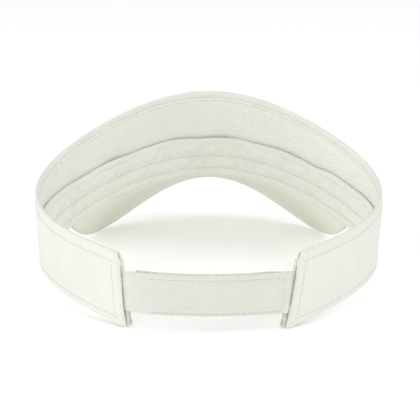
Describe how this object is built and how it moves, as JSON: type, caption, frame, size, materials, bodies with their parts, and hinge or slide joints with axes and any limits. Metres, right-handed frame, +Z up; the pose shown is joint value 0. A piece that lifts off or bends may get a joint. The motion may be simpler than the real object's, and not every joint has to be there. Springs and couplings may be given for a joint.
{
  "type": "sun visor",
  "caption": "Open-top sun visor: curved twill crown band, padded sweatband, arched stiff bill and an adjustable hook-and-loop back strap.",
  "frame": {"origin": "centre of the head opening, on the flat surface the visor rests on", "axes": "+Y forward along the bill, +Z up, +X to the right when looking forward along the bill"},
  "size_m": [0.1844, 0.2463, 0.0926],
  "materials": {
    "twill": "ivory cotton twill",
    "lining": "ivory cotton twill, inside face",
    "sweatband": "ivory cotton twill, folded and padded",
    "under_cover": "ivory cotton twill in shade",
    "padding": "white non-woven padding",
    "stiffener": "white buckram",
    "board": "pale polyethylene sheet",
    "thread": "ivory polyester thread",
    "tape": "white nylon hook-and-loop tape"
  },
  "bodies": {
    "crown": {"front_panel": "twill", "front_stiffener": "stiffener", "front_lining": "lining", "front_sweatband": "sweatband", "front_padding": "padding", "front_edge_stitching": "thread", "front_sweatband_stitching": "thread", "bill_seam_stitching": "thread", "bill_under_cover": "under_cover", "bill_board": "board", "bill_top_cover": "twill"},
    "left_arm": {"left_panel": "twill", "left_lining": "lining", "left_sweatband": "sweatband", "left_padding": "padding", "left_edge_stitching": "thread", "left_sweatband_stitching": "thread", "left_end_stitching": "thread", "outer_strap_root": "twill"},
    "right_arm": {"right_panel": "twill", "right_lining": "lining", "right_sweatband": "sweatband", "right_padding": "padding", "right_edge_stitching": "thread", "right_sweatband_stitching": "thread", "right_end_stitching": "thread", "inner_strap_root": "twill"},
    "outer_strap": {"outer_strap": "twill", "outer_strap_stitching": "thread", "hook_tape": "tape"},
    "inner_strap": {"inner_strap": "twill", "inner_strap_stitching": "thread", "loop_tape": "tape"}
  },
  "joints": [
    {"name": "left_temple_flex", "type": "hinge", "parent": "crown", "child": "left_arm", "pos_m": [-0.0898, 0.012, 0.02], "axis": [0, 0, -1], "range_deg": [0, 8], "stiffness_Nm_per_rad": 0.05},
    {"name": "right_temple_flex", "type": "hinge", "parent": "crown", "child": "right_arm", "pos_m": [0.0898, 0.012, 0.02], "axis": [0, 0, 1], "range_deg": [0, 8], "stiffness_Nm_per_rad": 0.05},
    {"name": "outer_strap_peel", "type": "hinge", "parent": "left_arm", "child": "outer_strap", "pos_m": [-0.03734, -0.08329, 0.0189], "axis": [0, 0, -1], "range_deg": [0, 110]},
    {"name": "inner_strap_swing", "type": "hinge", "parent": "right_arm", "child": "inner_strap", "pos_m": [0.03734, -0.08329, 0.0189], "axis": [0, 0, -1], "range_deg": [0, 55]}
  ],
  "couplings": [
    {"joint": "right_temple_flex", "follows": "left_temple_flex", "ratio": 1}
  ]
}
